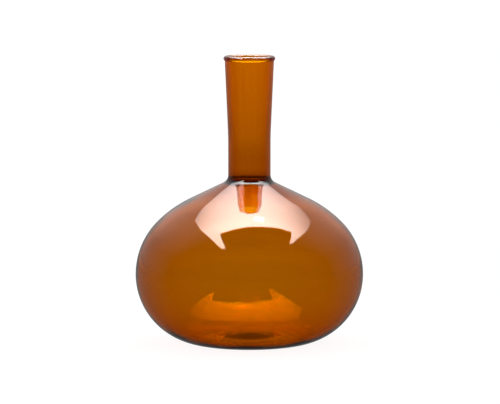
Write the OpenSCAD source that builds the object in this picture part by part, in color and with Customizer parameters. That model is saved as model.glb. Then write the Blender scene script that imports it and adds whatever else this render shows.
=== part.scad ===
// Hand-made bud vase in clear amber glass: a wide, flattened bulb with a sloping shoulder,
// a tall narrow neck that flares a little towards the mouth, a fire-polished rim bead, and a
// base that is pushed up in the middle. Every piece is a turned shape about the Z axis.
// Origin: centre of the resting plane. +Z is up, along the vase's axis.

/* [Whole vase] */
// Height from the table to the top of the rim
vase_h = 230.6; // [180:0.1:300]

/* [Bulb] */
// Widest diameter of the bulb
bulb_d = 182; // [150:1:240]
// Radius of the heel, the arc from the resting ring up to the widest part
heel_r = 56; // [45:1:66]
// Radius of the side, the arc just above the widest part
side_r = 59; // [45:1:66]
// Angle that the side turns through before the shoulder begins
side_turn = 45; // [35:1:52]
// Radius of the shoulder arc
shoulder_r = 96; // [70:1:115]
// Slope of the straight stretch between shoulder and neck, measured from level
shoulder_slope = 26; // [20:1:34]
// Glass thickness of the bulb's sides and shoulder
bulb_wall = 2; // [1.2:0.1:3.5]

/* [Neck] */
// Outside diameter of the straight lower neck
neck_d = 33.8; // [24:0.1:42]
// Outside diameter of the neck where it meets the rim bead
neck_top_d = 39.2; // [30:0.1:50]
// Height above the collar's outer curve at which the flare begins
flare_start = 31; // [15:1:50]
// Radius of the gentle bend from straight to flared
flare_bend_r = 270; // [100:10:400]
// Glass thickness of the neck
neck_wall = 2.4; // [1.5:0.1:3.5]

/* [Neck seal] */
// Outside radius of the fused collar that joins neck and bulb
seal_r = 7; // [3:0.5:12]
// Radius of the tight corner inside the collar, where the bore meets the underside of the shoulder
seal_inner_r = 2.5; // [1.5:0.5:6]

/* [Rim] */
// Outside diameter of the rim bead
rim_d = 41.2; // [32:0.1:52]
// Thickness of the rim bead
bead_t = 4.2; // [2.6:0.1:5]

/* [Base] */
// Glass thickness at the resting ring
base_t = 3; // [2.5:0.1:7]
// Width of the flat ring that the vase rests on
foot_ring_w = 4; // [2:0.5:8]
// Height of the hollow pushed up under the middle of the base
punt_h = 4; // [3:0.5:14]
// Glass thickness in the middle of the base
punt_t = 3; // [2:0.1:6]

/* [Pontil button] */
// Diameter of the button of glass left where the iron was broken away
pontil_d = 6.4; // [4:0.1:14]
// Depth of the button
pontil_h = 1.2; // [0.6:0.1:2.5]
// Radius of the button's melted edge
pontil_edge_r = 0.5; // [0.2:0.1:0.6]

/* [Hidden] */
$fn = 96;
// Turn between neighbouring points of an arc, in degrees
arc_step = 3;
// Points along each half of the base's pushed-up curve
punt_steps = 20;

bulb_r = bulb_d / 2;
neck_r = neck_d / 2;
bore_r = neck_r - neck_wall;
foot_r = bulb_r - heel_r;
punt_r = foot_r - foot_ring_w;
pontil_r = pontil_d / 2;

// Centres of the arcs that make the bulb's outline. The widest part is level with the first two.
heel_centre = [foot_r, heel_r];
inner_heel_r = heel_r - base_t;
inner_heel_centre = [bulb_r - bulb_wall - inner_heel_r, heel_r];
side_centre = [bulb_r - side_r, heel_r];
side_end = on_arc(side_centre, side_r, side_turn);
shoulder_centre = on_arc(side_end, shoulder_r, side_turn + 180);
shoulder_turn = 90 - shoulder_slope;
shoulder_end = on_arc(shoulder_centre, shoulder_r, shoulder_turn);

// The collar's outer arc touches both the straight neck and the sloping shoulder. Its inner arc
// touches the bore and the underside of the shoulder. The neck stands on the level plane where
// the inner arc begins, so its foot spreads a little over the first part of the outer arc.
seal_x = neck_r + seal_r;
seal_z = slope_z(seal_x) + seal_r / cos(shoulder_slope);
seal_centre = [seal_x, seal_z];
seal_top = slope_z(bore_r + seal_inner_r) + (seal_inner_r - bulb_wall) / cos(shoulder_slope);
seal_inner_centre = [bore_r + seal_inner_r, seal_top];
seal_from = 180 + asin((seal_z - seal_top) / seal_r);
seal_turn = 270 - shoulder_slope;

// The neck ends where a flat across the bead is as wide as the neck's wall.
bead_r = bead_t / 2;
bead_centre = [rim_d / 2 - bead_r, vase_h - bead_r];
neck_top_z = bead_centre[1] - sqrt(bead_r * bead_r - neck_wall * neck_wall / 4);
flare_z = seal_z + flare_start;
flare_angle = atan((neck_top_d / 2 - neck_r) / (neck_top_z - flare_z));
bend_z = flare_z - flare_bend_r * tan(flare_angle / 2);
bend_centre = [neck_r + flare_bend_r, bend_z];

// One point of a circle, at an angle from the +X direction
function on_arc(centre, r, angle) = centre + r * [cos(angle), sin(angle)];

// Height of the shoulder's straight outer slope, or of its extension, at a distance from the axis
function slope_z(x) = shoulder_end[1] + (shoulder_end[0] - x) * tan(shoulder_slope);

// Evenly spaced points of an arc, both ends included
function arc(centre, r, from, to) =
    let (steps = max(1, ceil(abs(to - from) / arc_step)))
    [for (i = [0:steps]) on_arc(centre, r, from + (to - from) * i / steps)];

function backwards(points) = [for (i = [len(points) - 1:-1:0]) points[i]];

// A smooth rise from 0 at radius far to height at radius near, level at both ends
function rise(near, far, height) =
    [for (i = [0:punt_steps])
        let (t = i / punt_steps)
        [near + (far - near) * t, height * (1 + cos(180 * t)) / 2]];

function lift(points, z) = [for (p = points) p + [0, z]];

// Bulb: blown globe with a thick heel, open under the neck and over the base
module bulb() {
    outside = concat(
        arc(heel_centre, heel_r, -90, 0),
        arc(side_centre, side_r, 0, side_turn),
        arc(shoulder_centre, shoulder_r, side_turn, shoulder_turn),
        [on_arc(seal_centre, seal_r, seal_turn)]);
    inside = concat(
        [[foot_r, base_t]],
        arc(inner_heel_centre, inner_heel_r, -90, 0),
        arc(side_centre, side_r - bulb_wall, 0, side_turn),
        arc(shoulder_centre, shoulder_r - bulb_wall, side_turn, shoulder_turn),
        [on_arc(seal_centre, seal_r + bulb_wall, seal_turn)]);
    color([0.72, 0.36, 0.04]) rotate_extrude() polygon(concat(outside, backwards(inside)));
}

// Neck seal: the fused collar where the neck was joined to the hot bulb
module neck_seal() {
    outside = arc(seal_centre, seal_r, seal_from, seal_turn);
    inside = concat(
        arc(seal_inner_centre, seal_inner_r, 180, seal_turn),
        [on_arc(seal_centre, seal_r + bulb_wall, seal_turn)]);
    color([0.45, 0.16, 0.02]) rotate_extrude() polygon(concat(outside, backwards(inside)));
}

// Neck tube: spread at its foot, straight above it, then flared a little up to the rim
module neck_tube() {
    outside = concat(
        arc(seal_centre, seal_r, seal_from, 180),
        arc(bend_centre, flare_bend_r, 180, 180 - flare_angle),
        [[neck_top_d / 2, neck_top_z]]);
    inside = concat(
        [[bore_r, seal_top]],
        arc(bend_centre, flare_bend_r + neck_wall, 180, 180 - flare_angle),
        [[neck_top_d / 2 - neck_wall / cos(flare_angle), neck_top_z]]);
    color([0.70, 0.33, 0.03]) rotate_extrude() polygon(concat(outside, backwards(inside)));
}

// Rim bead: the mouth's edge, melted in the fire until it drew up into a round ring
module rim_bead() {
    color([0.62, 0.26, 0.05]) rotate_extrude() intersection() {
        translate(bead_centre) circle(bead_r);
        translate([0, neck_top_z]) square([rim_d, bead_t]);
    }
}

// Base: thick floor with a narrow resting ring and its middle pushed up
module base_punt() {
    underside = concat(
        [[0, punt_h]],
        rise(pontil_r, punt_r, punt_h),
        [[foot_r, 0]]);
    floor_top = lift(rise(0, foot_r, punt_h + punt_t - base_t), base_t);
    color([0.60, 0.25, 0.03]) rotate_extrude() polygon(concat(underside, backwards(floor_top)));
}

// Pontil button: the small stub under the middle of the base, clear of the table
module pontil_button() {
    tip_z = punt_h - pontil_h;
    outline = concat(
        [[0, punt_h], [0, tip_z]],
        arc([pontil_r - pontil_edge_r, tip_z + pontil_edge_r], pontil_edge_r, -90, 0),
        [[pontil_r, punt_h]]);
    color([0.40, 0.13, 0.02]) rotate_extrude() polygon(outline);
}

bulb();
neck_seal();
neck_tube();
rim_bead();
base_punt();
pontil_button();
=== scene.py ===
from math import asin, atan2, ceil, cos, degrees, log, pi, radians, sin, tan

import bmesh
import bpy
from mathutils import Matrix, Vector


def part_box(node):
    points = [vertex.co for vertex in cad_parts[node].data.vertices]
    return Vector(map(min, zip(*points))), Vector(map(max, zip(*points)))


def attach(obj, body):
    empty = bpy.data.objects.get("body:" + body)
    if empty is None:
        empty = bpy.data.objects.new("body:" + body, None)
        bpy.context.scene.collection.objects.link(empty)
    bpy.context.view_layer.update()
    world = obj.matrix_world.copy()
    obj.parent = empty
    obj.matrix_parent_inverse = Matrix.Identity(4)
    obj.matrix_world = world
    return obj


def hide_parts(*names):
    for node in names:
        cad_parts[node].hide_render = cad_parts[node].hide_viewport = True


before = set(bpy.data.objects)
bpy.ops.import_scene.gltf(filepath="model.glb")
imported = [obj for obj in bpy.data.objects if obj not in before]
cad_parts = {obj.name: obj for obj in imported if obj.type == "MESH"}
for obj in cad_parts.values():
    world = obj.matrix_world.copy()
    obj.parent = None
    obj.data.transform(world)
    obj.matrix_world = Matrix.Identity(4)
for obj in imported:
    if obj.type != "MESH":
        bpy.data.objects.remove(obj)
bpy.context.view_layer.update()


# --- Bulb -------------------------------------------------------------------------------------
# The blown globe: one bubble of clear amber glass, 2 mm thick, with a heel a little thicker than
# its full side, and a shoulder that slopes up to the neck. It was blown and turned by hand, so
# its surface is very slightly uneven. Base and neck seal are fused to its two open edges.

FUSED = 0.00002  # clearance that keeps two fused pieces from sharing a face
ARC_STEP = 1.0  # degrees between neighbouring points of an arc
TURN_STEPS = 192  # stations round the axis
SLOPE_STEPS = 12  # parts of the shoulder's straight slope
CREASE = 30  # degrees: an edge that is sharper than this stays sharp
OUTLINE_MERGE = 1e-7  # metres: points of an outline closer than this are one
SEAM_MERGE = 1e-6  # metres: the same where a turned piece closes on itself

bulb_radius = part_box("bulb")[1].x
bulb_wall = 0.002
heel_radius = 0.056
base_thickness = 0.003
side_radius = 0.059
side_turn = 45
shoulder_radius = 0.096
shoulder_slope = 26
foot_radius = bulb_radius - heel_radius


def on_arc(centre, radius, angle):
    """The point of a circle in the XZ plane, angle in degrees up from +X."""
    return centre[0] + radius * cos(radians(angle)), centre[1] + radius * sin(radians(angle))


def begin_outline(x, z):
    """Starts a turned piece as a single point in edit mode, at radius x and height z."""
    bpy.ops.object.select_all(action="DESELECT")
    bpy.ops.mesh.primitive_plane_add(size=0.01)
    bpy.ops.object.mode_set(mode="EDIT")
    bpy.ops.mesh.select_all(action="SELECT")
    bpy.ops.mesh.merge(type="CENTER")
    bpy.ops.transform.translate(value=(x, 0, z))


def pen():
    """Where the outline's open end is now."""
    edited = bmesh.from_edit_mesh(bpy.context.object.data)
    return next(v.co.copy() for v in edited.verts if v.select)


def draw_line(x, z, steps=1):
    """Extrudes the open end to a new point, in equal steps."""
    start = pen()
    step = (Vector((x, 0, z)) - start) / steps
    for _ in range(steps):
        bpy.ops.mesh.extrude_region_move(TRANSFORM_OT_translate={"value": step})


def draw_arc(centre, turn, step=ARC_STEP):
    """Spins the open end by turn degrees about a centre in the XZ plane, either way round."""
    bpy.ops.mesh.spin(
        steps=max(2, ceil(abs(turn) / step)),
        angle=radians(turn),
        center=(centre[0], 0, centre[1]),
        axis=(0, 1, 0),
    )


def turn_outline(name):
    """Spins the outline round the vase's axis, closes its seam and poles, and names the piece."""
    bpy.ops.mesh.select_all(action="SELECT")
    bpy.ops.mesh.remove_doubles(threshold=OUTLINE_MERGE)
    bpy.ops.mesh.select_all(action="SELECT")
    bpy.ops.mesh.spin(steps=TURN_STEPS, angle=2 * pi, center=(0, 0, 0), axis=(0, 0, 1))
    bpy.ops.mesh.select_all(action="SELECT")
    bpy.ops.mesh.remove_doubles(threshold=SEAM_MERGE)
    bpy.ops.mesh.normals_make_consistent(inside=False)
    bpy.ops.object.mode_set(mode="OBJECT")
    bpy.ops.object.shade_smooth_by_angle(angle=radians(CREASE))
    piece = bpy.context.object
    piece.name = name
    piece.data.name = name
    return piece


heel_centre = (foot_radius, heel_radius)
inner_heel_radius = heel_radius - base_thickness
inner_heel_centre = (bulb_radius - bulb_wall - inner_heel_radius, heel_radius)
side_centre = (bulb_radius - side_radius, heel_radius)
side_end = on_arc(side_centre, side_radius, side_turn)
shoulder_centre = on_arc(side_end, shoulder_radius, side_turn + 180)
shoulder_turn = 90 - shoulder_slope - side_turn
slope = radians(shoulder_slope)
shoulder_end = on_arc(shoulder_centre, shoulder_radius, 90 - shoulder_slope)


def slope_height(x):
    """Height of the shoulder's straight outer slope, or of its extension, at radius x."""
    return shoulder_end[1] + (shoulder_end[0] - x) * tan(slope)


# The bulb ends where the neck seal begins, square to its wall, so the seal's arcs come first.
neck_radius = 0.0169
neck_wall = 0.0024
bore_radius = neck_radius - neck_wall
seal_radius = 0.007
seal_inner_radius = 0.0025
seal_x = neck_radius + seal_radius
seal_centre = (seal_x, slope_height(seal_x) + seal_radius / cos(slope))
seal_end = 270 - shoulder_slope
bulb_edge = on_arc(seal_centre, seal_radius, seal_end)
bulb_inner_edge = on_arc(seal_centre, seal_radius + bulb_wall, seal_end)

begin_outline(foot_radius, 0)
draw_arc(heel_centre, 90)
draw_arc(side_centre, side_turn)
draw_arc(shoulder_centre, shoulder_turn)
draw_line(*bulb_edge, steps=SLOPE_STEPS)
draw_line(*bulb_inner_edge)
draw_line(
    *on_arc(shoulder_centre, shoulder_radius - bulb_wall, 90 - shoulder_slope), steps=SLOPE_STEPS
)
draw_arc(shoulder_centre, -shoulder_turn)
draw_arc(side_centre, -side_turn)
draw_arc(inner_heel_centre, -90)
draw_line(foot_radius, base_thickness)
draw_line(foot_radius, 0)
bulb = turn_outline("bulb_glass")


class Wire:
    """A value in a shader. Arithmetic on it adds Math nodes."""

    def __init__(self, shader, socket):
        self.shader = shader
        self.socket = socket

    def maths(self, operation, *values):
        return self.shader.node("ShaderNodeMath", {"operation": operation}, *values)

    def __add__(self, other):
        return self.maths("ADD", self, other)

    def __radd__(self, other):
        return self.maths("ADD", other, self)

    def __sub__(self, other):
        return self.maths("SUBTRACT", self, other)

    def __rsub__(self, other):
        return self.maths("SUBTRACT", other, self)

    def __mul__(self, other):
        return self.maths("MULTIPLY", self, other)

    def __rmul__(self, other):
        return self.maths("MULTIPLY", other, self)

    def __truediv__(self, other):
        return self.maths("DIVIDE", self, other)

    def __pow__(self, other):
        return self.maths("POWER", self, other)

    def __getitem__(self, name):
        return Wire(self.shader, self.socket.node.outputs[name])


class Shader:
    """A node tree being built: of a material, or of the world."""

    def __init__(self, owner):
        owner.use_nodes = True
        self.tree = owner.node_tree
        self.tree.nodes.clear()

    def node(self, kind, settings=None, *values, **named):
        """Adds a node, sets it up, and gives its inputs values or links. Returns its first output."""
        made = self.tree.nodes.new(kind)
        for key, value in (settings or {}).items():
            setattr(made, key, value)
        inputs = list(zip(range(len(values)), values))
        inputs += [(key.replace("_", " "), value) for key, value in named.items()]
        for key, value in inputs:
            if value is None:
                continue
            if isinstance(value, Wire):
                self.tree.links.new(value.socket, made.inputs[key])
            else:
                made.inputs[key].default_value = value
        return Wire(self, made.outputs[0]) if made.outputs else made

    def step(self, value, low, high):
        """0 below low, 1 above high, and smooth between. Low may be the greater."""
        return self.node(
            "ShaderNodeMapRange", {"interpolation_type": "SMOOTHSTEP"}, value, low, high
        )

    def noise(self, where, scale, detail):
        """Smooth random values from 0 to 1."""
        return self.node("ShaderNodeTexNoise", {}, where, None, Scale=scale, Detail=detail)

    def mix(self, factor, first, second):
        """Mixes two colours."""
        mixer = self.tree.nodes.new("ShaderNodeMix")
        mixer.data_type = "RGBA"
        for key, value in (("Factor_Float", factor), ("A_Color", first), ("B_Color", second)):
            socket = next(s for s in mixer.inputs if s.identifier == key)
            if isinstance(value, Wire):
                self.tree.links.new(value.socket, socket)
            else:
                socket.default_value = value
        return Wire(self, next(s for s in mixer.outputs if s.identifier == "Result_Color"))


WAVES = 0.35  # mm, height of the slow unevenness
STREAKS = 0.03  # mm, height of the streaks along the drawn neck
RINGS = 0.012  # mm, height of the rings left round the bulb by the shaping tools
STREAK_SCALE = (240, 8)  # features a metre of the streaks, across and along the neck
RING_SCALE = (10, 170)  # the same of the rings, along and across them
WAVE_SCALE = 26  # the same of the slow unevenness
GRAIN_SCALE = 900  # the same of the scuffs under the foot
SCUFFED = 0.35  # roughness of the scuffs
CLOUDED = 0.02  # roughness of the dullest patches elsewhere
IOR = 1.5
PASSED = (0.787, 0.413, 0.02)  # share of red, green and blue that a wall of the glass lets through
PASSED_WALL = 0.002  # metres, the thickness of that wall

# The surface carries part of the colour. Its four colours, the places where they change and the
# two factors on the depth of colour were set: they don't follow from how thick the glass is.
# Of these, the darker shoulder round the neck, the foot of the neck and the collar are painted shade,
# and the fainter base is painted light.
TINT = (0.95, 0.76, 0.35, 1)
DEEPER = (0.85, 0.60, 0.24, 1)  # towards which streaks, rings and the painted shade at the foot of the neck go
# painted shade on the top of the shoulder round the neck
SHOULDER_SHADE = (0.69, 0.43, 0.16, 1)
# painted shade: the collar near black, for the dark band at the foot of the neck
COLLAR_SHADE = (0.18, 0.06, 0.01, 1)
STREAK_SHARE = 0.30  # how far a streak goes from TINT to DEEPER
RING_SHARE = 0.12  # the same of a ring
FOOT_SHADE_SHARE = 0.45  # the same of the painted shade at the foot of the neck
COLLAR_SHADE_DEPTH = 5.0  # painted shade: how much more the glass of the collar takes up than the rest
BASE_LIGHT_DEPTH = 0.55  # painted light: the same of the base and its button, which take up less so that they look brighter

# Each of these fades in from its first number to its second: heights z and radii in metres.
NECK_FROM_Z = (0.128, 0.142)
# where the painted shade at the foot of the neck begins and ends
FOOT_SHADE_FROM_Z = (0.128, 0.134)
FOOT_SHADE_TO_Z = (0.166, 0.146)
# where the shoulder's painted shade begins and ends
SHOULDER_SHADE_FROM_Z = (0.095, 0.110)
SHOULDER_SHADE_TO_RADIUS = (0.052, 0.024)
# where the collar's painted shade ends
COLLAR_SHADE_TO_Z = (0.1350, 0.1322)
COLLAR_SHADE_TO_RADIUS = (0.0225, 0.0200)
SCUFFS_TO_Z = (0.0012, 0.0004)


def amber_glass(name, depth=1.0):
    """Clear amber glass, coloured through its depth, which is faintly streaked and uneven, with
    painted shade round the foot of the neck; depth scales how much it takes up: more for painted
    shade, less for painted light.
    """
    material = bpy.data.materials.new(name)
    shader = Shader(material)
    spot = shader.node("ShaderNodeTexCoord")["Object"]
    spot_parts = shader.node("ShaderNodeSeparateXYZ", {}, spot)
    x, y, z = spot_parts["X"], spot_parts["Y"], spot_parts["Z"]
    wide, long = STREAK_SCALE
    drawn = shader.node("ShaderNodeCombineXYZ", {}, x * wide, y * wide, z * long)
    wide, long = RING_SCALE
    turned = shader.node("ShaderNodeCombineXYZ", {}, x * wide, y * wide, z * long)
    streaks = shader.noise(drawn, 1.0, 2.0)
    rings = shader.noise(turned, 1.0, 2.0)
    uneven = shader.noise(spot, WAVE_SCALE, 1.0)
    grain = shader.noise(spot, GRAIN_SCALE, 2.0)

    in_neck = shader.step(z, *NECK_FROM_Z)
    # painted shade at the foot of the neck
    foot_shade_mask = shader.step(z, *FOOT_SHADE_FROM_Z) * shader.step(z, *FOOT_SHADE_TO_Z)
    streaked = shader.step(streaks, 0.42, 0.66) * in_neck
    ringed = shader.step(rings, 0.45, 0.70) * (1 - in_neck)
    deeper = streaked * STREAK_SHARE + ringed * RING_SHARE + foot_shade_mask * FOOT_SHADE_SHARE
    colour = shader.mix(deeper, TINT, DEEPER)
    radius = (x * x + y * y) ** 0.5
    # painted shade on the top of the shoulder round the neck
    shoulder_shade_mask = shader.step(radius, *SHOULDER_SHADE_TO_RADIUS) * shader.step(z, *SHOULDER_SHADE_FROM_Z)
    colour = shader.mix(shoulder_shade_mask * (1 - in_neck), colour, SHOULDER_SHADE)
    # painted shade: the collar near black
    collar_shade_mask = shader.step(z, *COLLAR_SHADE_TO_Z) * shader.step(radius, *COLLAR_SHADE_TO_RADIUS)
    colour = shader.mix(collar_shade_mask, colour, COLLAR_SHADE)

    scuffs = shader.step(z, *SCUFFS_TO_Z) * shader.step(grain, 0.50, 0.64)
    roughness = SCUFFED * scuffs + CLOUDED * shader.step(uneven, 0.5, 0.8)
    height = uneven * WAVES + streaks * in_neck * STREAKS + rings * (1 - in_neck) * RINGS
    bump = shader.node("ShaderNodeBump", {}, Strength=1.0, Distance=0.001, Height=height)
    surface = shader.node(
        "ShaderNodeBsdfPrincipled", Base_Color=colour, Roughness=roughness, Normal=bump, IOR=IOR
    )
    surface.socket.node.inputs["Transmission Weight"].default_value = 1.0
    loss = [-log(passed / tint) / PASSED_WALL for passed, tint in zip(PASSED, TINT)]
    inside = shader.node(
        "ShaderNodeVolumeAbsorption",
        Color=(*(1 - share / max(loss) for share in loss), 1),
        Density=max(loss) * depth,
    )
    shader.node("ShaderNodeOutputMaterial", Surface=surface, Volume=inside)
    return material


def finish_piece(piece, node, material):
    """Gives a turned piece its glass, and lets it stand for its CAD node."""
    piece.data.materials.append(material)
    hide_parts(node)
    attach(piece, "root")


glass = amber_glass("amber_glass")
finish_piece(bulb, "bulb", glass)


# --- Neck seal --------------------------------------------------------------------------------
# The fused collar, where the hot neck was pressed on the bulb and melted into it: a ring of the
# same glass, smooth and hollow outside, with a tight corner inside. The dark band at the foot of
# the neck is painted shade: a darker colour given to it and to the glass beside it, and denser
# glass in it. Its shape alone doesn't make one.

FACE_STEPS = 3  # parts of a fused face
CORNER_STEP = 4  # degrees between points of the inner corner
SLANT = 1.2  # how much further the arc is cut back where it meets the neck at a slant

seal_inner_x = bore_radius + seal_inner_radius
seal_top = slope_height(seal_inner_x) + (seal_inner_radius - bulb_wall) / cos(slope)
seal_inner_centre = (seal_inner_x, seal_top)
seal_from = 180 + degrees(asin((seal_centre[1] - seal_top) / seal_radius))
clear_turn = degrees(FUSED / seal_radius)
ring_from = seal_from + SLANT * clear_turn
ring_end = seal_end - clear_turn

begin_outline(*on_arc(seal_centre, seal_radius, ring_from))
ring_top = pen().z
draw_arc(seal_centre, ring_end - ring_from)
draw_line(*on_arc(seal_centre, seal_radius + bulb_wall, ring_end))
draw_line(*on_arc(seal_inner_centre, seal_inner_radius, seal_end), steps=FACE_STEPS)
draw_arc(seal_inner_centre, 180 - seal_end, step=CORNER_STEP)
draw_line(bore_radius, ring_top)
draw_line(*on_arc(seal_centre, seal_radius, ring_from), steps=FACE_STEPS)
seal = turn_outline("neck_seal_glass")
# painted shade: the collar's glass takes up more, so it looks darker
finish_piece(seal, "neck_seal", amber_glass("amber_glass_collar_shade", COLLAR_SHADE_DEPTH))


# --- Neck tube --------------------------------------------------------------------------------
# The drawn neck: a tube of the same glass that spreads where it was pressed on, runs straight,
# then flares a little up to the mouth. It was pulled out long while hot, which streaks it.

STRAIGHT_STEPS = 8  # parts of the straight lower neck
FLARE_STEPS = 24  # parts of the straight upper flare
BEND_STEP = 0.4  # degrees between points of the long bend between them

neck_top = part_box("neck_tube")[1]
flare_start = 0.031  # above the middle of the seal's arc
flare_bend = 0.270
flare_z = seal_centre[1] + flare_start
flare_angle = atan2(neck_top.x - neck_radius, neck_top.z - flare_z)
bend_z = flare_z - flare_bend * tan(flare_angle / 2)
bend_centre = (neck_radius + flare_bend, bend_z)

begin_outline(*on_arc(seal_centre, seal_radius, seal_from))
draw_arc(seal_centre, 180 - seal_from)
draw_line(neck_radius, bend_z, steps=STRAIGHT_STEPS)
draw_arc(bend_centre, -degrees(flare_angle), step=BEND_STEP)
draw_line(neck_top.x, neck_top.z, steps=FLARE_STEPS)
draw_line(neck_top.x - neck_wall / cos(flare_angle), neck_top.z)
draw_line(
    *on_arc(bend_centre, flare_bend + neck_wall, 180 - degrees(flare_angle)), steps=FLARE_STEPS
)
draw_arc(bend_centre, degrees(flare_angle), step=BEND_STEP)
draw_line(bore_radius, seal_top, steps=STRAIGHT_STEPS)
draw_line(*on_arc(seal_centre, seal_radius, seal_from), steps=FACE_STEPS)
neck = turn_outline("neck_tube_glass")
finish_piece(neck, "neck_tube", glass)


# --- Rim bead ---------------------------------------------------------------------------------
# The mouth's edge, melted in the fire until it drew up into a round ring a little wider than the
# neck. It is fused to the neck's end on a narrow flat.

BEAD_STEPS = 48  # points round the bead's section

rim_low, rim_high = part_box("rim_bead")
bead_radius = 0.0021
bead_centre = (rim_high.x - bead_radius, rim_high.z - bead_radius)
bpy.ops.object.select_all(action="DESELECT")
bpy.ops.mesh.primitive_torus_add(
    major_radius=bead_centre[0],
    minor_radius=bead_radius,
    major_segments=TURN_STEPS,
    minor_segments=BEAD_STEPS,
    location=(0, 0, bead_centre[1]),
)
bpy.ops.object.transform_apply(location=True, rotation=True, scale=True)
bpy.ops.object.mode_set(mode="EDIT")
bpy.ops.mesh.select_all(action="SELECT")
bpy.ops.mesh.bisect(
    plane_co=(0, 0, rim_low.z + FUSED),
    plane_no=(0, 0, 1),
    use_fill=False,
    clear_inner=True,
)
bpy.ops.mesh.select_all(action="DESELECT")
edited = bmesh.from_edit_mesh(bpy.context.object.data)
for edge in edited.edges:
    edge.select = edge.is_boundary
edited.select_flush_mode()
bmesh.update_edit_mesh(bpy.context.object.data)
bpy.ops.mesh.bridge_edge_loops()
bpy.ops.mesh.select_all(action="SELECT")
bpy.ops.mesh.normals_make_consistent(inside=False)
bpy.ops.object.mode_set(mode="OBJECT")
bpy.ops.object.shade_smooth_by_angle(angle=radians(CREASE))
rim = bpy.context.object
rim.name = "rim_bead_glass"
finish_piece(rim, "rim_bead", glass)


# --- Base -------------------------------------------------------------------------------------
# The floor of the vase, fused to the heel all round: a flat ring, scuffed where it rests on the
# table, round a middle that was pushed up so that the vase stands steady.

RISE_STEPS = 40  # parts of a smooth rise

foot_ring = 0.004  # width of the ring that rests on the table
punt_height = 0.004
punt_thickness = 0.003
pontil_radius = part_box("pontil_button")[1].x
punt_radius = foot_radius - foot_ring


def draw_rise(near, far, low, high):
    """Extrudes the open end along a smooth rise between two radii, level at both ends."""
    for i in range(1, RISE_STEPS + 1):
        t = i / RISE_STEPS
        draw_line(near + (far - near) * t, low + (high - low) * (1 - cos(pi * t)) / 2)


begin_outline(0, punt_height)
draw_line(pontil_radius, punt_height)
draw_rise(pontil_radius, punt_radius, punt_height, 0)
draw_line(foot_radius - FUSED, 0)
draw_line(foot_radius - FUSED, base_thickness)
draw_rise(foot_radius - FUSED, 0, base_thickness, punt_height + punt_thickness)
base = turn_outline("base_punt_glass")
# painted light: the base and its button take up less, so they look brighter
lit_base_glass = amber_glass("amber_glass_base_lit", BASE_LIGHT_DEPTH)
finish_piece(base, "base_punt", lit_base_glass)


# --- Pontil button ----------------------------------------------------------------------------
# The stub left under the middle of the base where the glass worker's iron was broken away, with
# its sharp edge melted round. It is clear of the table.

EDGE_STEP = 15  # degrees between points of the melted edge

edge_radius = 0.0005
button_length = 0.0012
button_tip = punt_height - button_length
begin_outline(0, punt_height - FUSED)
draw_line(0, button_tip)
draw_line(pontil_radius - edge_radius, button_tip)
draw_arc((pontil_radius - edge_radius, button_tip + edge_radius), 90, step=EDGE_STEP)
draw_line(pontil_radius, punt_height - FUSED)
draw_line(0, punt_height - FUSED)
button = turn_outline("pontil_button_glass")
finish_piece(button, "pontil_button", lit_base_glass)


# --- Studio -----------------------------------------------------------------------------------
# A white paper sweep, brighter further back, one softbox above with a dark lamp head in it, and
# soft light all round. The paper's glow is one value for the camera and another through the
# glass, so that the paper looks white and the glass keeps its colour.

WHITE = (1, 1, 1, 1)
PAPER = (0.13, 0.13, 0.13, 1)  # what the paper throws back of the light that falls on it
PAPER_SEEN = 0.91  # the paper's glow, as the camera sees it
PAPER_NEAR = 0.49  # the same as the glass shows it, close to the vase
PAPER_DIM = 0.30  # how much less of that there is to the sides of the vase
floor_size = 20

scene = bpy.context.scene
bpy.ops.object.select_all(action="DESELECT")
bpy.ops.mesh.primitive_plane_add(size=floor_size)
floor = bpy.context.object
floor.name = "floor"
floor.visible_glossy = False
paper = bpy.data.materials.new("paper")
sheet = Shader(paper)
floor_spot = sheet.node("ShaderNodeSeparateXYZ", {}, sheet.node("ShaderNodeTexCoord")["Object"])
floor_x, floor_y = floor_spot["X"], floor_spot["Y"]
seen = sheet.node("ShaderNodeLightPath")["Is Camera Ray"]
further = 0.22 * sheet.step(floor_y, 1.6, 2.4) + 0.17 * sheet.step(floor_y, 2.1, 3.6)
sideways = floor_x.maths("ABSOLUTE", floor_x)
beside = sheet.step(sideways, 0.06, 0.20) * sheet.step(floor_y, 1.5, 1.0)
in_glass = (PAPER_NEAR + further) * (1 - PAPER_DIM * beside)
paper_glow = PAPER_SEEN * seen + (1 - seen) * in_glass
matt = sheet.node("ShaderNodeBsdfDiffuse", Color=PAPER)
glowing = sheet.node("ShaderNodeEmission", Color=paper_glow, Strength=1.0)
both = sheet.node("ShaderNodeAddShader", {}, matt, glowing)
sheet.node("ShaderNodeOutputMaterial", Surface=both)
floor.data.materials.append(paper)

# The softbox's edges, in metres from its middle. Each line of the cloth or of the lamp head
# leans by a slope, and fades from its first number to its second.
softbox_size = 1.4
softbox_place = (0, 0.1, 0.45)
LEFT_LEAN, LEFT_EDGE = 0.084, (-0.262, -0.252)
RIGHT_EDGE = (0.307, 0.297)
BACK_LEFT_LEAN, BACK_LEFT_EDGE = 2.2, (0.735, 0.705)
BACK_RIGHT_LEAN, BACK_RIGHT_EDGE = 1.6, (0.710, 0.690)
FRONT_LEAN, FRONT_EDGE = 0.26, (-0.30, -0.24)
BACK_EDGE = (0.40, 0.37)
HEAD_LEFT_LEAN, HEAD_LEFT_EDGE = 0.14, (-0.155, -0.147)
HEAD_RIGHT_LEAN, HEAD_RIGHT_EDGE = 0.37, (0.2205, 0.2125)
HEAD_BACK_LEAN, HEAD_BACK_EDGE = 0.17, (-0.0665, -0.0745)
HEAD_FRONT_EDGE = (-0.50, -0.46)
FLASH_LEFT, FLASH_RIGHT = (0.018, 0.022), (0.066, 0.062)
FLASH_FRONT, FLASH_BACK = (-0.016, -0.012), (0.022, 0.018)
HOT_SPOT_Y = -0.0705  # the brightest place of the cloth
FADE_ACROSS, FADE_ALONG = 0.408, 0.358  # metres over which it grows dimmer
CLOTH_GLOW = 15
FLASH_GLOW = 14

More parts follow.
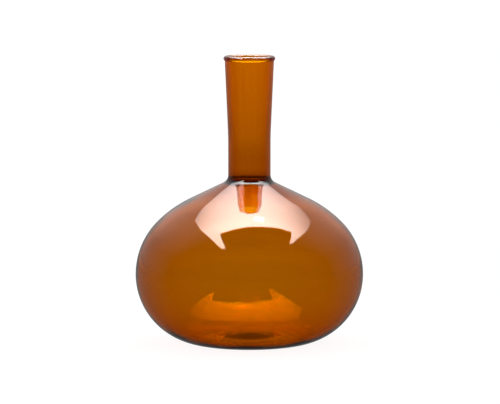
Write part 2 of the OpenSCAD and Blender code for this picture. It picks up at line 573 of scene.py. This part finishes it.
bpy.ops.object.select_all(action="DESELECT")
bpy.ops.mesh.primitive_plane_add(size=softbox_size, location=softbox_place)
bpy.ops.object.transform_apply(location=True, rotation=True, scale=True)
softbox = bpy.context.object
softbox.name = "softbox"
softbox.visible_camera = False
softbox.visible_diffuse = False
softbox.visible_shadow = False
cloth = bpy.data.materials.new("softbox_cloth")
lamp = Shader(cloth)
lamp_spot = lamp.node("ShaderNodeSeparateXYZ", {}, lamp.node("ShaderNodeTexCoord")["Object"])
lamp_x, lamp_y = lamp_spot["X"], lamp_spot["Y"]
on_cloth = (
    lamp.step(lamp_x - LEFT_LEAN * (0.15 - lamp_y), *LEFT_EDGE)
    * lamp.step(lamp_x, *RIGHT_EDGE)
    * lamp.step(lamp_y - BACK_LEFT_LEAN * lamp_x, *BACK_LEFT_EDGE)
    * lamp.step(lamp_y + BACK_RIGHT_LEAN * lamp_x, *BACK_RIGHT_EDGE)
    * lamp.step(lamp_y - FRONT_LEAN * lamp_x, *FRONT_EDGE)
    * lamp.step(lamp_y, *BACK_EDGE)
)
from_side = lamp_x / FADE_ACROSS
from_hot = (lamp_y - HOT_SPOT_Y) / FADE_ALONG
behind_hot = lamp_y.maths("MAXIMUM", from_hot, 0.0)
far_behind = lamp_y.maths("MAXIMUM", from_hot - 0.1, 0.0)
fade = lamp_y.maths(
    "EXPONENT", -1.05 * far_behind - (1.0 + 2.2 * behind_hot) * from_side * from_side
)
on_head = (
    lamp.step(lamp_x - HEAD_LEFT_LEAN * (lamp_y + 0.094), *HEAD_LEFT_EDGE)
    * lamp.step(lamp_x + HEAD_RIGHT_LEAN * (lamp_y + 0.031), *HEAD_RIGHT_EDGE)
    * lamp.step(lamp_y - HEAD_BACK_LEAN * lamp_x, *HEAD_BACK_EDGE)
    * lamp.step(lamp_y, *HEAD_FRONT_EDGE)
)
on_flash = (
    lamp.step(lamp_x, *FLASH_LEFT)
    * lamp.step(lamp_x, *FLASH_RIGHT)
    * lamp.step(lamp_y, *FLASH_FRONT)
    * lamp.step(lamp_y, *FLASH_BACK)
)
shine = (1 - on_head) * on_cloth * fade * CLOTH_GLOW + on_flash * FLASH_GLOW
covered = lamp_y.maths("MINIMUM", on_cloth + on_head, 1.0)
lit = lamp.node("ShaderNodeEmission", Color=shine, Strength=1.0)
clear = lamp.node("ShaderNodeBsdfTransparent")
mixed = lamp.node("ShaderNodeMixShader", {}, covered, clear, lit)
lamp.node("ShaderNodeOutputMaterial", Surface=mixed)
softbox.data.materials.append(cloth)

# Light from all round. White falls on matt things, reflections show dim panels overhead and the
# paper sweep behind, and the glass shows a backdrop that is darker higher up.
OVERHEAD = 0.30  # brightness of the panels
SWEEP = 0.40  # brightness of the paper sweep in reflections
BACKDROP_HIGH, BACKDROP_LOW = 0.12, 1.0  # brightness of the backdrop through the glass

world = bpy.data.worlds.new("studio")
scene.world = world
sky = Shader(world)
toward = sky.node("ShaderNodeSeparateXYZ", {}, sky.node("ShaderNodeTexCoord")["Generated"])
sky_x, sky_y, sky_z = toward["X"], toward["Y"], toward["Z"]
overhead = sky_z.maths("MAXIMUM", sky_z, 0.02)
panel_x = sky_x / overhead
panel_y = sky_y / overhead
panels = (
    sky.step(panel_y, -0.4, 0.1)
    * sky.step(panel_x.maths("ABSOLUTE", panel_x), 2.6, 0.6)
    * (1 - sky.step(panel_x, -0.3, 0.3) * 0.3)
    * OVERHEAD
)
behind = sky_y.maths("MAXIMUM", sky_y, 0.0) ** 0.8
rising = sky_z.maths("MAXIMUM", sky_z, 0.0)
sinking = sky.step(sky_z, -0.85, -0.1) * (0.6 + 0.4 * sky.step(sky_z, -0.05, 0.08))
sweep = behind * SWEEP * (1 + rising * 0.8) * sinking
reflected = sky.step(sky_z, 0.05, 0.15) * panels + sweep
backdrop = BACKDROP_HIGH + (BACKDROP_LOW - BACKDROP_HIGH) * sky.step(sky_z, 0.5, 0.15)
path = sky.node("ShaderNodeLightPath")
off_matt = sky.step(path["Diffuse Depth"], 0.4, 0.6)
mirrored = sky.step(path["Glossy Depth"], 0.4, 0.6)
indirect = (1 - path["Is Camera Ray"]) * (1 - off_matt)
light = (1 - indirect) + indirect * (mirrored * reflected + (1 - mirrored) * backdrop)
background = sky.node("ShaderNodeBackground", Color=light, Strength=1.0)
sky.node("ShaderNodeOutputWorld", Surface=background)

camera_height = 0.4008
camera_distance = 2.8
camera_lens = 253.728  # mm, on a film 36 mm wide
aim = Vector((0.0005, 0, 0.1137))
camera = bpy.data.objects.new("camera", bpy.data.cameras.new("camera"))
scene.collection.objects.link(camera)
camera.location = (0, -camera_distance, camera_height)
camera.rotation_euler = (aim - camera.location).to_track_quat("-Z", "Y").to_euler()
camera.data.lens = camera_lens
camera.data.clip_end = 50
scene.camera = camera
scene.view_settings.view_transform = "Standard"
scene.cycles.max_bounces = 24
scene.cycles.transmission_bounces = 24
scene.cycles.glossy_bounces = 12
